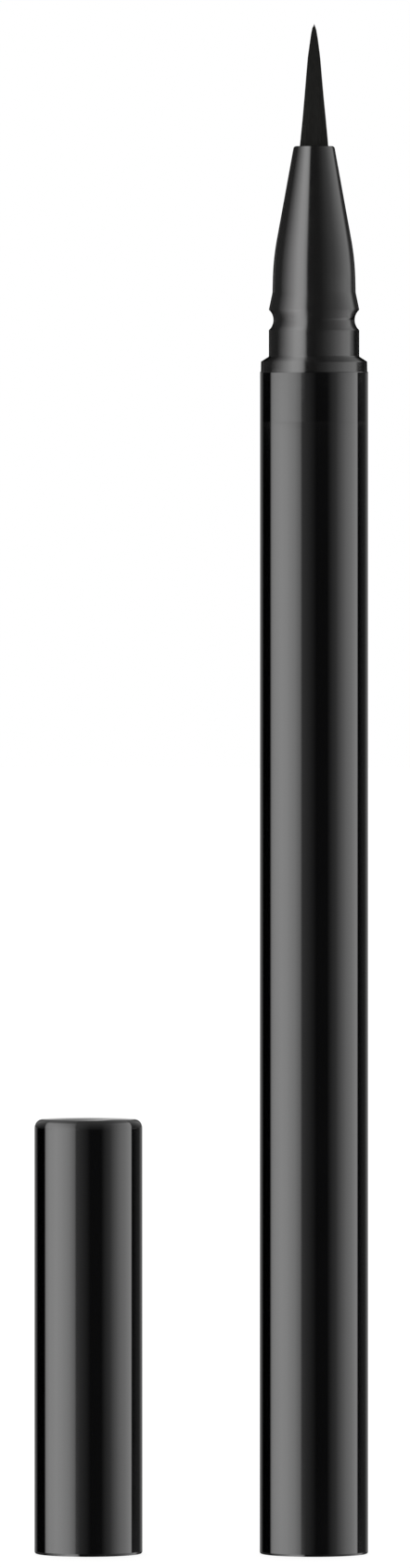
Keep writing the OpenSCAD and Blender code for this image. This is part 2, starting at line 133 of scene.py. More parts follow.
def turned(outline, axis_x=0.0):
    """A mesh turned from an outline of (radius, height) in millimetres about an axis at x, in metres."""
    bm = bmesh.new()
    outline = supported(outline)
    points = [bm.verts.new((r * MM, 0, z * MM)) for r, z in outline]
    runs = [
        bm.edges.new((points[i], points[i + 1]))
        for i in range(len(points) - 1) if not on_axis(outline[i], outline[i + 1])
    ]
    bmesh.ops.spin(
        bm, geom=points + runs, cent=(0, 0, 0), axis=(0, 0, 1),
        angle=math.tau, steps=TURN_STEPS, use_merge=True,
    )
    bmesh.ops.remove_doubles(bm, verts=bm.verts, dist=SAME_POINT)
    bmesh.ops.recalc_face_normals(bm, faces=bm.faces)
    bmesh.ops.translate(bm, verts=bm.verts, vec=(axis_x, 0, 0))
    return bm


def line_with(piece, material, axis_x, inner_r, roof_z=math.inf):
    """Gives the faces inside a hollow turned piece their own material: within a radius and under a roof."""
    piece.data.materials.append(material)
    for face in piece.data.polygons:
        reach = math.hypot(face.center.x - axis_x, face.center.y)
        if reach < (inner_r + LINING_MARGIN) * MM and face.center.z < roof_z * MM:
            face.material_index = 1


# Tools for materials

def linear(code):
    """An sRGB hex colour as the linear colour that a socket takes."""
    shares = [int(code[i:i + 2], 16) / 255 for i in (1, 3, 5)]
    return [c / 12.92 if c <= 0.04045 else ((c + 0.055) / 1.055) ** 2.4 for c in shares] + [1.0]


def add(tree, kind, sockets=None, stops=None, **settings):
    """Adds a node with its settings, its sockets' values or links, and for a ramp its (place, colour) stops.
    A node given for a socket stands for its first output."""
    made = tree.nodes.new(kind)
    for name, value in settings.items():
        setattr(made, name, value)
    for name, value in (sockets or {}).items():
        if isinstance(value, bpy.types.Node):
            value = value.outputs[0]
        if isinstance(value, bpy.types.NodeSocket):
            tree.links.new(value, made.inputs[name])
        else:
            made.inputs[name].default_value = value
    if stops:
        ramp = made.color_ramp
        while len(ramp.elements) < len(stops):
            ramp.elements.new(1)
        for element, (place, colour) in zip(ramp.elements, stops):
            element.position = place
            element.color = colour if hasattr(colour, "__len__") else (colour, colour, colour, 1)
    return made


def new_material(name):
    """An empty node material, and its tree."""
    material = bpy.data.materials.new(name)
    material.use_nodes = True
    material.node_tree.nodes.clear()
    return material, material.node_tree


# Soft noise stays mostly between two values, and fibres take a narrower part of it
NOISE_LOW = 0.3
NOISE_HIGH = 0.7
STREAK_LOW = 0.35
STREAK_HIGH = 0.65
# A plastic's colour and its gloss vary this many times more slowly than its surface
TINT_SPREAD = 7
GLOSS_SPREAD = 5
# Depth of the lines in polished or drawn steel, in millimetres
POLISH_DEPTH = 0.0006


def waves(tree, size, detail=2.0, stretch=(1, 1, 1)):
    """Soft noise whose waves are some millimetres long, stretched along the axes by shares."""
    place = add(tree, "ShaderNodeTexCoord").outputs["Object"]
    mapped = add(tree, "ShaderNodeMapping", {"Vector": place, "Scale": [1 / s for s in stretch]})
    noise = add(tree, "ShaderNodeTexNoise", {
        "Vector": mapped.outputs["Vector"], "Scale": 1 / (size * MM), "Detail": detail, "Roughness": 0.5,
    })
    return noise.outputs["Fac"]


def plastic(name, colours, roughness, wave, depth, own, stretch=(1, 1, 1), shine=None):
    """A moulded or coated plastic: its colour and roughness vary between two values with soft noise, and its
    surface has waves of a size and depth in millimetres. Its own values for the shader's sockets go by name.
    The shine is its gloss against how far the surface turns away, from 0 straight on to 1 edge on."""
    material, tree = new_material(name)
    tint = add(tree, "ShaderNodeValToRGB", {"Fac": waves(tree, wave * TINT_SPREAD)}, stops=[
        (NOISE_LOW, linear(colours[0])), (NOISE_HIGH, linear(colours[1])),
    ])
    gloss = add(tree, "ShaderNodeMapRange", {
        "Value": waves(tree, wave * GLOSS_SPREAD), "From Min": NOISE_LOW, "From Max": NOISE_HIGH,
        "To Min": roughness[0], "To Max": roughness[1],
    })
    bump = add(tree, "ShaderNodeBump", {
        "Height": waves(tree, wave, stretch=stretch), "Strength": 1.0, "Distance": depth * MM,
    })
    sockets = {"Base Color": tint, "Roughness": gloss, "Normal": bump, "Coat Normal": bump, **own}
    if shine:
        facing = add(tree, "ShaderNodeLayerWeight", {"Blend": 0.5}).outputs["Facing"]
        sockets["Specular IOR Level"] = add(tree, "ShaderNodeValToRGB", {"Fac": facing}, stops=shine)
    shader = add(tree, "ShaderNodeBsdfPrincipled", sockets)
    add(tree, "ShaderNodeOutputMaterial", {"Surface": shader})
    return material


# Materials

# Black ABS under a polished clear lacquer: a deep, nearly neutral black with sharp, bright edges to what
# it mirrors, and the slow ripple of sprayed lacquer, whose waves are about 1.5 mm long and 1 micrometre deep.
lacquered_abs = plastic(
    "lacquered_black_abs", ("#030304", "#050506"), (0.05, 0.08), wave=1.5, depth=0.0012,
    own={"IOR": 1.5, "Coat Weight": 1.0, "Coat Roughness": 0.02, "Coat IOR": 1.5},
)

# Black ABS as it leaves the mould, where no lacquer reaches: a dull, slightly grey black.
bare_abs = plastic(
    "moulded_black_abs", ("#101011", "#141415"), (0.38, 0.46), wave=0.3, depth=0.004,
    own={"IOR": 1.54},
)

# Black ABS from a finely spark-eroded mould: a satin that softens what it mirrors. The real grain of
# 0.05 mm is drawn at 0.16 mm, because it would not show otherwise. At a low angle the grain shades itself,
# so the rims mirror less.
satin_abs = plastic(
    "satin_black_abs", ("#0e0e0e", "#121211"), (0.13, 0.16), wave=0.16, depth=0.0004,
    own={"IOR": 1.59}, shine=[(0.25, 1.0), (0.5, 0.85), (0.8, 0.0)],
)

# Natural polypropylene: milky and slightly see-through, with faint flow marks along its length.
natural_pp = plastic(
    "natural_polypropylene", ("#d9dbd7", "#e3e5e1"), (0.24, 0.34), wave=0.8, depth=0.003, stretch=(1, 1, 6),
    own={"IOR": 1.49, "Transmission Weight": 0.35},
)

# White moulded ABS: an even, slightly warm white with a soft gloss.
white_abs = plastic(
    "moulded_white_abs", ("#e3e3de", "#eaeae6"), (0.28, 0.36), wave=0.4, depth=0.003,
    own={"IOR": 1.54},
)

# Soft polyethylene: waxy, with light that spreads in it a little.
soft_pe = plastic(
    "soft_polyethylene", ("#dcdad2", "#e5e3dc"), (0.36, 0.44), wave=0.6, depth=0.004,
    own={"IOR": 1.51, "Subsurface Weight": 0.25, "Subsurface Scale": 0.0006},
)


def fibre_stuff(name, colours, roughness, thickness, depth, specular):
    """Fibres that run along Z, some millimetres thick: streaks of colour and fine ridges."""
    material, tree = new_material(name)
    streaks = waves(tree, thickness, detail=3.0, stretch=(1, 1, 40))
    tint = add(tree, "ShaderNodeValToRGB", {"Fac": streaks}, stops=[
        (STREAK_LOW, linear(colours[0])), (STREAK_HIGH, linear(colours[1])),
    ])
    bump = add(tree, "ShaderNodeBump", {"Height": streaks, "Strength": 1.0, "Distance": depth * MM})
    shader = add(tree, "ShaderNodeBsdfPrincipled", {
        "Base Color": tint, "Roughness": roughness, "Normal": bump, "Specular IOR Level": specular,
    })
    add(tree, "ShaderNodeOutputMaterial", {"Surface": shader})
    return material


# Tapered polyester bristle soaked in black ink: nearly black, dull, with hair-thin streaks up to the point.
inked_bristle = fibre_stuff(
    "inked_bristle", ("#1c1c1b", "#262624"), roughness=0.75, thickness=0.05, depth=0.004, specular=0.12,
)

# Bonded polyester fibre: an unbleached white rod with streaks. Its fibres of 0.02 mm are drawn at 0.06 mm,
# because they would not show otherwise.
bonded_fibre = fibre_stuff(
    "bonded_polyester_fibre", ("#b9b3a5", "#d6d1c5"), roughness=0.7, thickness=0.06, depth=0.01, specular=0.4,
)


def steel(name, roughness, wave, stretch):
    """Stainless steel whose polish or drawing leaves fine lines of a size in millimetres."""
    material, tree = new_material(name)
    lines = waves(tree, wave, detail=3.0, stretch=stretch)
    gloss = add(tree, "ShaderNodeMapRange", {
        "Value": lines, "From Min": NOISE_LOW, "From Max": NOISE_HIGH,
        "To Min": roughness[0], "To Max": roughness[1],
    })
    bump = add(tree, "ShaderNodeBump", {"Height": lines, "Strength": 1.0, "Distance": POLISH_DEPTH * MM})
    shader = add(tree, "ShaderNodeBsdfPrincipled", {
        "Base Color": linear("#c3c4c6"), "Metallic": 1.0, "Roughness": gloss, "Normal": bump,
    })
    add(tree, "ShaderNodeOutputMaterial", {"Surface": shader})
    return material


# Drawn stainless wire: bright, with fine lines left by the die.
drawn_steel = steel("drawn_stainless_wire", (0.16, 0.26), wave=0.06, stretch=(6, 6, 1))

# Lapped stainless ball: almost a mirror.
lapped_steel = steel("lapped_stainless_ball", (0.05, 0.1), wave=0.2, stretch=(1, 1, 1))


# Clearances in millimetres: of pieces that are pressed together, of pieces that slide, of the cap over the
# pen, and of one piece that rests on another
PUSH_FIT = 0.02
PLAY_FIT = 0.08
CAP_FIT = 0.045
REST_GAP = 0.03


# Barrel: a straight tube with a small rounded edge at the foot

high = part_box("barrel")[1]
barrel_r, barrel_len = high.x / MM, high.z / MM
BARREL_WALL = 0.75
# The tail plug's disc is this thick, and its seat is this much wider than the bore
TAIL_DISC = 1.2
TAIL_STEP = 0.14
FOOT_EDGE = 0.18
# The cut edge at the front end is broken by the polishing
BARREL_BREAK = 0.05

barrel_bore = barrel_r - BARREL_WALL
tail_seat = barrel_bore + TAIL_STEP

barrel_outline = [(tail_seat, 0.0)]
barrel_outline += arc((barrel_r - FOOT_EDGE, FOOT_EDGE), FOOT_EDGE, -90, 0)
barrel_outline += arc((barrel_r - BARREL_BREAK, barrel_len - BARREL_BREAK), BARREL_BREAK, 0, 90, SMALL_STEPS)
barrel_outline += [
    (barrel_bore, barrel_len), (barrel_bore, TAIL_DISC), (tail_seat, TAIL_DISC), (tail_seat, 0.0),
]
barrel = finished("barrel_tube", turned(barrel_outline), "pen", lacquered_abs, ["barrel"])
line_with(barrel, bare_abs, 0.0, tail_seat)


# Nose: plug and spigot in the barrel, collar, shoulder, neck, snap groove, lead slope and cone

low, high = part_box("nose_cone")
collar_r, spigot_z, mouth_z = high.x / MM, low.z / MM, high.z / MM
tank_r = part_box("ink_tank")[1].x / MM
brush_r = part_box("brush_tuft")[1].x / MM
# The brush holder's top lies against its seat in the nose
holder_seat_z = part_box("brush_holder")[1].z / MM
NOSE_PLUG_LEN = 4.0
# The spigot goes into the tank, and the ink collector's head into the spigot
TANK_WALL = 0.6
SPIGOT_WALL = 0.64
HEAD_LEN = 6.4
LEAD_CHAMFER = 0.3
RING_H = 0.3
COLLAR_H = 0.88
# The drafts are in degrees
COLLAR_DRAFT = 1.0
SHOULDER_H = 0.44
NECK_R = 3.905
NECK_LEN = 2.28
GROOVE_W = 1.76
GROOVE_DEPTH = 0.39
LEAD_LEN = 1.5
LEAD_STEP = 0.31
BODY_DRAFT = 1.3
DRAFT_LEN = 2.86
BEND_R = 22.0
MOUTH_WALL = 0.447
MOUTH_EDGE = 0.25
HOLDER_SEAT_R = 1.95
# The moulded edges are a little soft
COLLAR_ROUND = 0.08
SHOULDER_ROUND = 0.12
GROOVE_ROUND = 0.03
RIDGE_ROUND = 0.05
LEAD_ROUND = 0.15
BEND_STEPS = 20

nose_plug_r = barrel_bore - PUSH_FIT
spigot_r = tank_r - TANK_WALL - PLAY_FIT
ring_reach = PLAY_FIT - PUSH_FIT / 2
head_bore = spigot_r - SPIGOT_WALL
head_stop_z = spigot_z + HEAD_LEN + REST_GAP
mouth_r = brush_r + PLAY_FIT / 2
tip_r = mouth_r + MOUTH_WALL
nose_z = barrel_len
shoulder_z = nose_z + COLLAR_H
neck_z = shoulder_z + SHOULDER_H
groove_z = neck_z + NECK_LEN
ridge_z = groove_z + GROOVE_W
body_z = ridge_z + LEAD_LEN
corner_z = body_z + DRAFT_LEN
collar_top_r = collar_r - COLLAR_H * math.tan(math.radians(COLLAR_DRAFT))
body_r = NECK_R - LEAD_STEP
corner_r = body_r - DRAFT_LEN * math.tan(math.radians(BODY_DRAFT))
groove_arc_r = ((GROOVE_W / 2) ** 2 + GROOVE_DEPTH ** 2) / (2 * GROOVE_DEPTH)
groove_sweep = math.degrees(math.asin(GROOVE_W / 2 / groove_arc_r))
cone_angle = math.degrees(math.atan2(corner_r - tip_r, mouth_z - corner_z))
half_bend = math.radians((cone_angle - BODY_DRAFT) / 2)
bend_way = math.radians(BODY_DRAFT) + half_bend
bend_centre = (
    corner_r - BEND_R / math.cos(half_bend) * math.cos(bend_way),
    corner_z - BEND_R / math.cos(half_bend) * math.sin(bend_way),
)
mouth_centre = (
    tip_r - MOUTH_EDGE * (1 - math.sin(math.radians(cone_angle))) / math.cos(math.radians(cone_angle)),
    mouth_z - MOUTH_EDGE,
)
nose_plug_z = nose_z - NOSE_PLUG_LEN


def ring(radius, height):
    """Points of a low sealing ring on a wall, walked upwards."""
    third = RING_H / 3
    return [
        (radius, height - RING_H), (radius + ring_reach, height - third),
        (radius + ring_reach, height + third), (radius, height + RING_H),
    ]


spigot_len = nose_plug_z - spigot_z
nose_corners = [
    (collar_r, nose_z), (collar_top_r, shoulder_z), (NECK_R, neck_z), (NECK_R, groove_z),
]
nose_outline = [
    (head_bore, spigot_z), (spigot_r - LEAD_CHAMFER / 2, spigot_z), (spigot_r, spigot_z + LEAD_CHAMFER),
]
nose_outline += ring(spigot_r, spigot_z + spigot_len / 3) + ring(spigot_r, spigot_z + spigot_len * 2 / 3)
nose_outline += [
    (spigot_r, nose_plug_z), (nose_plug_r - LEAD_CHAMFER / 2, nose_plug_z),
    (nose_plug_r, nose_plug_z + LEAD_CHAMFER), (nose_plug_r, nose_z), (collar_r, nose_z),
]
nose_outline += rounded(nose_corners[0], nose_corners[1], nose_corners[2], COLLAR_ROUND)
nose_outline += rounded(nose_corners[1], nose_corners[2], nose_corners[3], SHOULDER_ROUND)
groove = arc(
    (NECK_R - GROOVE_DEPTH + groove_arc_r, groove_z + GROOVE_W / 2), groove_arc_r,
    180 + groove_sweep, 180 - groove_sweep, BEND_STEPS,
)
bend = arc(bend_centre, BEND_R, BODY_DRAFT, cone_angle, BEND_STEPS)
nose_outline += rounded(nose_corners[2], groove[0], groove[1], GROOVE_ROUND)
nose_outline += groove[2:-2]
nose_outline += rounded(groove[-2], groove[-1], (body_r, body_z), RIDGE_ROUND)
nose_outline += rounded(groove[-1], (body_r, body_z), bend[0], LEAD_ROUND)
nose_outline += bend
nose_outline += arc(mouth_centre, MOUTH_EDGE, cone_angle, 90)
nose_outline += [
    (mouth_r, mouth_z), (mouth_r, holder_seat_z), (HOLDER_SEAT_R, holder_seat_z),
    (HOLDER_SEAT_R, head_stop_z), (head_bore, head_stop_z), (head_bore, spigot_z),
]
nose = finished("nose_front", turned(nose_outline), "pen", satin_abs, ["nose_cone"])


# Brush: a bonded root, and tapering fibres that draw together to a point

low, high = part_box("brush_tuft")
root_z, tip_z = low.z / MM, high.z / MM
# The bonded root ends this deep in the nose's mouth
STRAND_SINK = 0.3
FIBRE_COUNT = 840
FIBRE_SIDES = 5
FIBRE_R = 0.046
# The fibres' feet stand this deep in the root
FIBRE_SINK = 0.15
# The brush's width as a share of its root's, against the height as a share of the fibres' length
TAPER = [
    (0.0, 1.0), (0.08, 0.93), (0.26, 0.78), (0.43, 0.645),
    (0.74, 0.42), (0.92, 0.205), (0.98, 0.1), (1.0, 0.0),
]
FIBRE_ROWS = [0.1, 0.25, 0.45, 0.62, 0.76, 0.87, 0.95, 1.0]
# The fibres end over the last share of the brush, and the middle ones are the longest
FIBRE_ENDS = 0.07
# A few hair's breadths of waver keep the fibres from looking ruled: its share of the width, how fast it
# goes up a fibre, and how much it shifts from one fibre to the next, both in radians
WAVER = 0.012
WAVER_PACE = 7
WAVER_SHIFT = 2.4
GOLDEN = (math.sqrt(5) - 1) / 2

strand_z = mouth_z - STRAND_SINK


def width_at(share):
    """The brush's width as a share of its root's, at a share of its height."""
    for (low_at, low_width), (high_at, high_width) in zip(TAPER, TAPER[1:]):
        if share <= high_at:
            return low_width + (high_width - low_width) * (share - low_at) / (high_at - low_at)
    return 0.0


bm = turned([(0.0, root_z), (brush_r, root_z), (brush_r, strand_z), (0.0, strand_z)])
number = bm.faces.layers.int.new("fibre")
feet, tips = [], []
for i in range(FIBRE_COUNT):
    reach = (brush_r - FIBRE_R / 2) * math.sqrt((i + 0.5) / FIBRE_COUNT)
    turn = math.tau * i * GOLDEN
    foot = (reach * math.cos(turn), reach * math.sin(turn))
    feet.append(foot)
    place = Matrix.Translation((foot[0] * MM, foot[1] * MM, (strand_z - FIBRE_SINK) * MM))
    disc = bmesh.ops.create_circle(
        bm, cap_ends=True, segments=FIBRE_SIDES, radius=FIBRE_R * MM,
        matrix=place @ Matrix.Rotation(turn, 4, "Z"),
    )
    face = disc["verts"][0].link_faces[0]
    face[number] = i
    tips.append(face)
for row, share in enumerate(FIBRE_ROWS):
    before = FIBRE_ROWS[row - 1] if row else 0.0
    tips = bmesh.ops.extrude_discrete_faces(bm, faces=tips)["faces"]
    for face in tips:
        i = face[number]
        end = 1 - FIBRE_ENDS * (i * GOLDEN % 1) * math.sqrt(i / FIBRE_COUNT)
        waver = 1 + WAVER * math.sin(WAVER_PACE * share + WAVER_SHIFT * i)
        was, now = width_at(before * end), width_at(share * end) * (waver if 0 < share < 1 else 1)
        middle = face.calc_center_median()
        thin = 0.0 if share == 1.0 else now / was
        for v in face.verts:
            v.co.x = feet[i][0] * now * MM + (v.co.x - middle.x) * thin
            v.co.y = feet[i][1] * now * MM + (v.co.y - middle.y) * thin
            v.co.z = (strand_z + share * end * (tip_z - strand_z)) * MM
bmesh.ops.holes_fill(bm, edges=[e for e in bm.edges if e.is_boundary], sides=FIBRE_SIDES)
bmesh.ops.remove_doubles(bm, verts=bm.verts, dist=SAME_POINT)
bmesh.ops.recalc_face_normals(bm, faces=bm.faces)
brush = finished("brush", bm, "pen", inked_bristle, ["brush_tuft"], sharp=80)


# Cap: a turned shell with a rounded, slightly domed top

low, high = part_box("cap_shell")
cap_x = (low.x + high.x) / 2
cap_r, cap_len = (high.x - low.x) / 2 / MM, high.z / MM
inner_low, inner_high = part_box("inner_cap")
SEAT_CHAMFER = 0.3
CAP_FOOT_EDGE = 0.22
TOP_EDGE = 0.75
DOME_R = 69.0
ROOF_T = 1.0
# The lining takes in the faces up to this far above the roof's underside
ROOF_MARGIN = 0.1
DOME_STEPS = 24
BEAD_R = 0.6
BEAD_H = 0.17
LEDGE_DEPTH = 0.17
# A boss under the roof and one on the inner cap centre the spring
BOSS_R = 1.871
BOSS_H = 1.0

cap_bore = NECK_R + CAP_FIT
cap_seat = cap_bore + SEAT_CHAMFER
# With the cap on, the chamfer in its mouth lies on the shoulder, and the bead sits in the snap groove
shoulder_rise = SHOULDER_H / (collar_top_r - NECK_R)
cap_on_z = shoulder_z + (collar_top_r - cap_seat) * shoulder_rise
seat_rise = SEAT_CHAMFER * shoulder_rise
bead_z = groove_z + GROOVE_W / 2 - cap_on_z
# The inner cap rests on the ledge
ledge_z = inner_low.z / MM - REST_GAP
ledge_r = body_r + CAP_FIT
guide_r = ledge_r + LEDGE_DEPTH
roof_edge = ROOF_T / 2
roof_z = cap_len - ROOF_T
dome_mid = cap_len - DOME_R
edge_z = dome_mid + math.sqrt((DOME_R - TOP_EDGE) ** 2 - (cap_r - TOP_EDGE) ** 2)
edge_sweep = math.degrees(math.acos((cap_r - TOP_EDGE) / (DOME_R - TOP_EDGE)))
bead_sweep = math.degrees(math.acos((BEAD_R - BEAD_H) / BEAD_R))

cap_outline = [(cap_seat, 0.0)]
cap_outline += arc((cap_r - CAP_FOOT_EDGE, CAP_FOOT_EDGE), CAP_FOOT_EDGE, -90, 0)
cap_outline += arc((cap_r - TOP_EDGE, edge_z), TOP_EDGE, 0, edge_sweep, DOME_STEPS)
cap_outline += arc((0.0, dome_mid), DOME_R, edge_sweep, 90, DOME_STEPS)[1:-1]
cap_outline += [(0.0, cap_len)]
cap_inside = [(0.0, roof_z - BOSS_H), (BOSS_R, roof_z - BOSS_H), (BOSS_R, roof_z)]
cap_inside += arc((guide_r - roof_edge, roof_z - roof_edge), roof_edge, 90, 0)
cap_inside += [(guide_r, ledge_z), (ledge_r, ledge_z), (ledge_r, ledge_z - LEDGE_DEPTH)]
cap_inside += [(cap_bore, ledge_z - LEDGE_DEPTH - (cap_bore - ledge_r))]
cap_inside += arc((cap_bore + BEAD_R - BEAD_H, bead_z), BEAD_R, 180 - bead_sweep, 180 + bead_sweep)
cap_inside += [(cap_bore, seat_rise), (cap_seat, 0.0)]

bm = turned(cap_outline + cap_inside, cap_x)
cap = finished("cap_tube", bm, "cap", lacquered_abs, ["cap_shell"])
line_with(cap, bare_abs, cap_x, cap_seat, roof_z + ROOF_MARGIN)


# Spring in the cap: drawn wire, wound with a closed turn at both ends

low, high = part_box("cap_spring")
SPRING_MEAN_R = 2.2
WIRE_R = 0.18
WIRE_SIDES = 16
STEPS_A_TURN = 48
END_TURNS = 1
ACTIVE_TURNS = 5
# A closed turn rises this many times the wire's thickness
CLOSED_PITCH = 1.05

start_z, stop_z = low.z / MM + WIRE_R, high.z / MM - WIRE_R
end_rise = END_TURNS * CLOSED_PITCH * 2 * WIRE_R
active_rise = stop_z - start_z - 2 * end_rise

bm = bmesh.new()
place = Matrix.Translation((SPRING_MEAN_R * MM, 0, start_z * MM)) @ Matrix.Rotation(math.pi / 2, 4, "X")
wire = bmesh.ops.create_circle(
    bm, cap_ends=False, segments=WIRE_SIDES, radius=WIRE_R * MM, matrix=place
)["verts"]
last = wire + list({e for v in wire for e in v.link_edges})
for turns, rise in ((END_TURNS, end_rise), (ACTIVE_TURNS, active_rise), (END_TURNS, end_rise)):
    steps = turns * STEPS_A_TURN
    last = bmesh.ops.spin(
        bm, geom=last, cent=(0, 0, 0), axis=(0, 0, 1), dvec=(0, 0, rise * MM / steps),
        angle=turns * math.tau, steps=steps, use_merge=False,
    )["geom_last"]
bmesh.ops.holes_fill(bm, edges=[e for e in bm.edges if e.is_boundary], sides=WIRE_SIDES)
bmesh.ops.recalc_face_normals(bm, faces=bm.faces)
bmesh.ops.translate(bm, verts=bm.verts, vec=(cap_x, 0, 0))
spring = finished("cap_spring_wire", bm, "cap", drawn_steel, ["cap_spring"], sharp=50)
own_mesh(spring)


# The CAD pieces that stay as they are

for node, material in {
    "tail_plug": bare_abs, "ink_tank": natural_pp, "tank_plug": soft_pe, "ink_collector": white_abs,
    "feed_rod": bonded_fibre, "brush_holder": white_abs, "mixing_ball": lapped_steel, "inner_cap": soft_pe,
}.items():
    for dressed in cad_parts[node].material_slots:
        dressed.material = material


# In the photograph the pen isn't mirrored in the cap, nor the cap in the pen
for piece in (barrel, nose, brush, cap, spring, *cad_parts.values()):
    piece.visible_glossy = False


# Camera: a long lens from in front, a little left of the pen and tilted slightly down

CAMERA_PLACE = (-0.00942, -1.5, 0.102)
CAMERA_TILT = 1.35
LENS = 398.2
SENSOR = 36
NEAREST = 0.1
FARTHEST = 20

camera = bpy.data.objects.new("camera", bpy.data.cameras.new("camera"))
scene.collection.objects.link(camera)
camera.location = CAMERA_PLACE
camera.rotation_euler = (math.radians(90 - CAMERA_TILT), 0, 0)
camera.data.sensor_fit = "VERTICAL"
camera.data.sensor_width = SENSOR
camera.data.sensor_height = SENSOR
camera.data.lens = LENS
camera.data.clip_start = NEAREST
camera.data.clip_end = FARTHEST
scene.camera = camera


# Floor: plain and pale. The camera sees most of its white as its own, so it fades into the backdrop,
# and the rest as light that falls on it, which keeps the soft shadow of the pen and the cap.

FLOOR_SIZE = 6.0
FLOOR_SHINE = 0.85
FLOOR_SHADED = 0.24
FLOOR_PALE = 0.8

bm = bmesh.new()
bmesh.ops.create_grid(bm, x_segments=1, y_segments=1, size=FLOOR_SIZE / 2)
mesh = bpy.data.meshes.new("floor")
bm.to_mesh(mesh)
bm.free()
floor = bpy.data.objects.new("floor", mesh)
scene.collection.objects.link(floor)
floor.visible_glossy = False

paper, tree = new_material("pale_paper_floor")
seen = add(tree, "ShaderNodeLightPath").outputs["Is Camera Ray"]
shine = add(tree, "ShaderNodeMath", {0: seen, 1: FLOOR_SHINE}, operation="MULTIPLY")
pale = add(tree, "ShaderNodeMix", {"Factor": seen, "A": FLOOR_PALE, "B": FLOOR_SHADED})
both = add(tree, "ShaderNodeAddShader", {
    0: add(tree, "ShaderNodeBsdfDiffuse", {"Color": pale}),
    1: add(tree, "ShaderNodeEmission", {"Strength": shine}),
})
add(tree, "ShaderNodeOutputMaterial", {"Surface": both})
mesh.materials.append(paper)


# Studio: a white backdrop, two tall soft boxes that glossy surfaces mirror as long bands, and a soft
# light from all round and above

# What a glossy upright wall mirrors, from its left rim (0) to its right rim (1): a wide soft box on the
# left, a dark room in the middle, and on the right a box that is brightest along its outer edge. The
# values are shares of the brightness below.
BOXES = [
    (0.097, 0.0), (0.111, 0.46), (0.14, 0.68), (0.2, 0.87), (0.25, 0.85), (0.32, 0.68), (0.372, 0.42),
    (0.39, 0.11), (0.43, 0.08), (0.52, 0.01), (0.62, 0.01), (0.7, 0.11), (0.8, 0.44), (0.892, 0.58),
    (0.902, 0.0), (0.96, 0.02),
]
# The same for a wall that leans: above and below, the boxes come nearer and fade towards their outer edges
LEANING_BOXES = [
    (0.05, 0.03), (0.1, 0.03), (0.16, 0.2), (0.3, 0.79), (0.36, 0.77), (0.4, 0.55), (0.42, 0.018),
    (0.57, 0.02), (0.64, 0.047), (0.75, 0.12), (0.81, 0.2), (0.88, 0.33), (0.93, 0.38), (0.955, 0.05),
    (1.0, 0.0),
]
BOX_BRIGHTNESS = 3.0
# The even part of the boxes is a level belt round this height. The heights are sines of the angle.
BELT_MIDDLE = -0.035
BELT_HALF = 0.035
BELT_EDGE = 0.01
# The soft boxes end overhead and behind
BOX_REACH = [(0.6, 1.0), (0.83, 0.75), (0.94, 0.5), (0.985, 0.2), (1.0, 0.1)]
# The backdrop is brightest straight behind the pen, and lower down
BACKDROP = [(0.72, 0.0), (0.84, 0.15), (0.93, 0.26), (0.97, 0.55), (1.0, 1.0)]
BACKDROP_SINK = -8.0
CEILING = [(0.3, 0.0), (1.0, 0.06)]
ROUND_LIGHT = 0.58


def mirrored_across(tree, part):
    """How far across a round wall a way, given by its parts, is mirrored towards the camera: from the wall's
    left rim (0) to its right rim (1)."""
    back = add(tree, "ShaderNodeMath", {0: 1.0, 1: part["Y"]}, operation="SUBTRACT")
    turn = add(tree, "ShaderNodeMath", {0: part["X"], 1: back}, operation="ARCTAN2")
    side = add(tree, "ShaderNodeMath", {0: turn}, operation="SINE")
    return add(tree, "ShaderNodeMath", {0: side, 1: 0.5, 2: 0.5}, operation="MULTIPLY_ADD")


def mirrored_lean(tree, part):
    """The sine of the angle at which a wall leans back where it mirrors a way towards the camera."""
    back = add(tree, "ShaderNodeMath", {0: 1.0, 1: part["Y"]}, operation="SUBTRACT")
    run = add(tree, "ShaderNodeMath", {
        0: add(tree, "ShaderNodeMath", {0: back, 1: 2.0}, operation="MULTIPLY"),
    }, operation="SQRT")
    return add(tree, "ShaderNodeMath", {0: part["Z"], 1: run}, operation="DIVIDE")


world = bpy.data.worlds.new("studio")
scene.world = world
world.use_nodes = True
world.cycles.sampling_method = "NONE"
tree = world.node_tree
tree.nodes.clear()
way = add(tree, "ShaderNodeTexCoord").outputs["Generated"]
part = add(tree, "ShaderNodeSeparateXYZ", {"Vector": way}).outputs
across = mirrored_across(tree, part)
height_squared = add(tree, "ShaderNodeMath", {0: part["Z"], 1: part["Z"]}, operation="MULTIPLY")

off_belt = add(tree, "ShaderNodeMapRange", {
    "Value": add(tree, "ShaderNodeMath", {
        0: add(tree, "ShaderNodeMath", {0: part["Z"], 1: BELT_MIDDLE}, operation="SUBTRACT"),
    }, operation="ABSOLUTE"),
    "From Min": BELT_HALF, "From Max": BELT_HALF + BELT_EDGE,
})
pattern = add(tree, "ShaderNodeMix", {
    "Factor": off_belt,
    "A": add(tree, "ShaderNodeValToRGB", {"Fac": across}, stops=BOXES),
    "B": add(tree, "ShaderNodeValToRGB", {"Fac": across}, stops=LEANING_BOXES),
})
reach = add(tree, "ShaderNodeValToRGB", {
    "Fac": add(tree, "ShaderNodeMath", {0: height_squared, 1: 0.5, 2: part["Y"]}, operation="MULTIPLY_ADD"),
}, stops=BOX_REACH)
boxes = add(tree, "ShaderNodeMath", {
    0: add(tree, "ShaderNodeMath", {0: pattern, 1: reach}, operation="MULTIPLY"), 1: BOX_BRIGHTNESS,
}, operation="MULTIPLY")
boxes = add(tree, "ShaderNodeMath", {
    0: boxes, 1: add(tree, "ShaderNodeValToRGB", {"Fac": part["Z"]}, stops=CEILING),
}, operation="MAXIMUM")
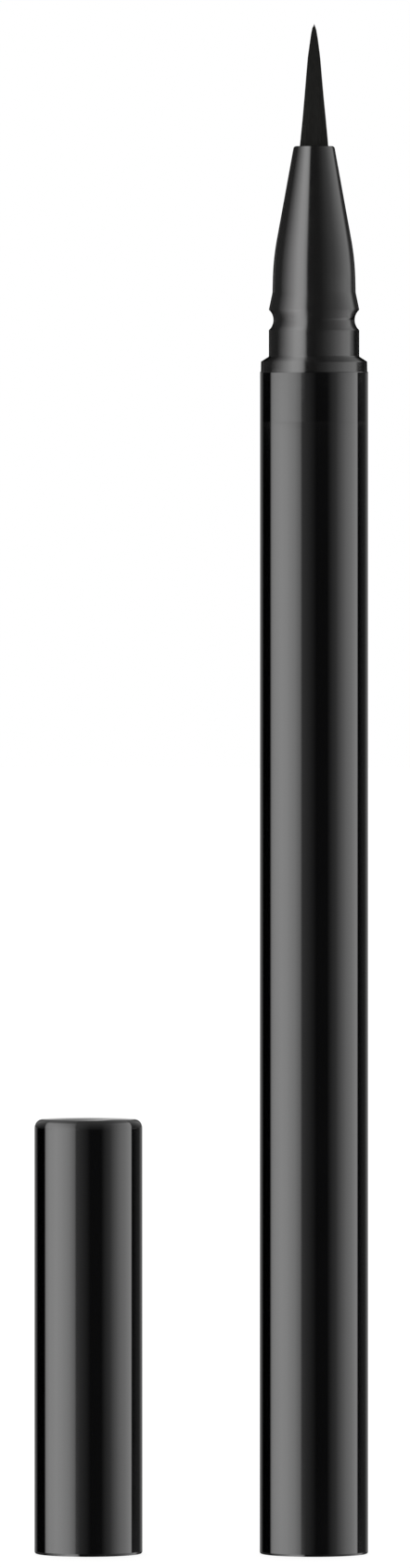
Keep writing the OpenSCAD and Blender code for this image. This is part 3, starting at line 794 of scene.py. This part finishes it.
backdrop = add(tree, "ShaderNodeValToRGB", {
    "Fac": add(tree, "ShaderNodeMath", {
        0: height_squared, 1: BACKDROP_SINK, 2: part["Y"],
    }, operation="MULTIPLY_ADD"),
}, stops=BACKDROP)
studio = add(tree, "ShaderNodeMath", {0: boxes, 1: backdrop}, operation="ADD")

# Glossy surfaces mirror the studio, the camera sees plain white, and all else gets an even light
path = add(tree, "ShaderNodeLightPath").outputs
lit = add(tree, "ShaderNodeMix", {"Factor": path["Is Glossy Ray"], "A": ROUND_LIGHT, "B": studio})
plain = add(tree, "ShaderNodeMath", {
    0: path["Is Camera Ray"], 1: path["Is Transmission Ray"],
}, operation="MAXIMUM")
light = add(tree, "ShaderNodeMix", {"Factor": plain, "A": lit, "B": 1.0})
background = add(tree, "ShaderNodeBackground", {"Color": (1, 1, 1, 1), "Strength": light})
add(tree, "ShaderNodeOutputWorld", {"Surface": background})

# Three level cards, which only glossy surfaces see, and only from one side. They are clear straight
# behind, for the backdrop.
WIDE_CARD = 6.0
NECK_CARD = 0.8
CARD_END = 0.94
# A card's usual shares and glow: even, and none
EVEN = [(0.0, 1.0), (1.0, 1.0)]
NO_GLOW = [(0.0, 0.0), (1.0, 0.0)]


def card(name, size, height, eye, from_below, steepest, boxes, shares=EVEN, glow=NO_GLOW):
    """A level card that shows soft boxes as they are mirrored across a wall at the eye, a place in metres.
    Their brightness varies by shares with the sine of the wall's lean, and so does a glow that is added. The
    card is clear for ways that rise or sink by more than the steepest, also a sine."""
    bm = bmesh.new()
    bmesh.ops.create_grid(bm, x_segments=1, y_segments=1, size=size / 2)
    bmesh.ops.translate(bm, verts=bm.verts, vec=(0, 0, height))
    # The side that shows is the back of the face
    if not from_below:
        bmesh.ops.reverse_faces(bm, faces=bm.faces)
    mesh = bpy.data.meshes.new(name)
    bm.to_mesh(mesh)
    bm.free()
    made = bpy.data.objects.new(name, mesh)
    scene.collection.objects.link(made)
    for sight in ("camera", "diffuse", "transmission", "volume_scatter", "shadow"):
        setattr(made, "visible_" + sight, False)

    material, tree = new_material(name)
    spot = add(tree, "ShaderNodeTexCoord").outputs["Object"]
    way = add(tree, "ShaderNodeVectorMath", {
        0: add(tree, "ShaderNodeVectorMath", {0: spot, 1: eye}, operation="SUBTRACT"),
    }, operation="NORMALIZE")
    part = add(tree, "ShaderNodeSeparateXYZ", {"Vector": way}).outputs
    across = mirrored_across(tree, part)
    lean = mirrored_lean(tree, part)
    pattern = add(tree, "ShaderNodeMath", {
        0: add(tree, "ShaderNodeValToRGB", {"Fac": across}, stops=boxes),
        1: add(tree, "ShaderNodeValToRGB", {"Fac": lean}, stops=shares),
    }, operation="MULTIPLY")
    light = add(tree, "ShaderNodeMath", {
        0: pattern, 1: BOX_BRIGHTNESS, 2: add(tree, "ShaderNodeValToRGB", {"Fac": lean}, stops=glow),
    }, operation="MULTIPLY_ADD")
    ahead = add(tree, "ShaderNodeMath", {0: part["Y"], 1: CARD_END}, operation="LESS_THAN")
    level = add(tree, "ShaderNodeMath", {
        0: add(tree, "ShaderNodeMath", {0: part["Z"]}, operation="ABSOLUTE"), 1: steepest,
    }, operation="LESS_THAN")
    inside = add(tree, "ShaderNodeMath", {0: ahead, 1: level}, operation="MULTIPLY")
    seen = add(tree, "ShaderNodeMath", {
        0: add(tree, "ShaderNodeNewGeometry").outputs["Backfacing"], 1: inside,
    }, operation="MULTIPLY")
    showing = add(tree, "ShaderNodeMixShader", {
        "Fac": seen,
        1: add(tree, "ShaderNodeBsdfTransparent"),
        2: add(tree, "ShaderNodeEmission", {"Strength": light}),
    })
    add(tree, "ShaderNodeOutputMaterial", {"Surface": showing})
    material.cycles.emission_sampling = "NONE"
    mesh.materials.append(material)


# For the rounded top edge of the cap the boxes reach on upwards, where they fade, with a faint glow
# between them: the card hangs just under the top of the barrel and is seen from below
card(
    "high_card", size=WIDE_CARD, height=0.098, eye=(cap_x, 0, cap_len * MM), from_below=True, steepest=1.1,
    boxes=BOXES,
    shares=[
        (0.0, 1.0), (0.32, 0.82), (0.53, 0.63), (0.62, 0.52),
        (0.68, 0.22), (0.745, 0.13), (0.85, 0.05), (1.0, 0.02),
    ],
    glow=[(0.0, 0.03), (0.43, 0.17), (0.64, 0.25), (0.85, 0.2), (0.957, 0.06), (1.0, 0.06)],
)
# The nose mirrors softer boxes below the level too, not the belt that the barrel mirrors: the card lies
# level with the joint between them and is seen from above
card(
    "low_card", size=WIDE_CARD, height=0.1024, eye=(0, 0, 0.105), from_below=False, steepest=0.08,
    boxes=[
        (0.12, 0.03), (0.14, 0.1), (0.19, 0.33), (0.25, 0.64), (0.3, 0.8), (0.36, 0.77), (0.4, 0.55),
        (0.42, 0.01), (0.57, 0.02), (0.67, 0.09), (0.77, 0.23), (0.82, 0.36), (0.88, 0.48), (0.92, 0.35),
        (0.94, 0.0),
    ],
)
# The collar and the neck mirror a right box that is wider inwards and ends sooner: the card lies level with
# the groove and is seen from below
card(
    "neck_card", size=NECK_CARD, height=0.107, eye=(0, 0, 0.1035), from_below=True, steepest=0.1,
    boxes=[
        (0.05, 0.03), (0.12, 0.02), (0.17, 0.14), (0.3, 0.79), (0.36, 0.77), (0.4, 0.55), (0.42, 0.01),
        (0.5, 0.012), (0.6, 0.07), (0.7, 0.18), (0.8, 0.35), (0.86, 0.4), (0.89, 0.4), (0.905, 0.02),
        (1.0, 0.0),
    ],
)

# A very wide soft lamp overhead, a little in front: its angles are in degrees
LAMP_STRENGTH = 1.45
LAMP_SPREAD = 50
LAMP_TILT = 30

lamp = bpy.data.objects.new("overhead_lamp", bpy.data.lights.new("overhead_lamp", "SUN"))
lamp.data.energy = LAMP_STRENGTH
lamp.data.angle = math.radians(LAMP_SPREAD)
lamp.rotation_euler = (-math.radians(LAMP_TILT), 0, 0)
lamp.visible_glossy = False
scene.collection.objects.link(lamp)

scene.view_settings.view_transform = "Standard"
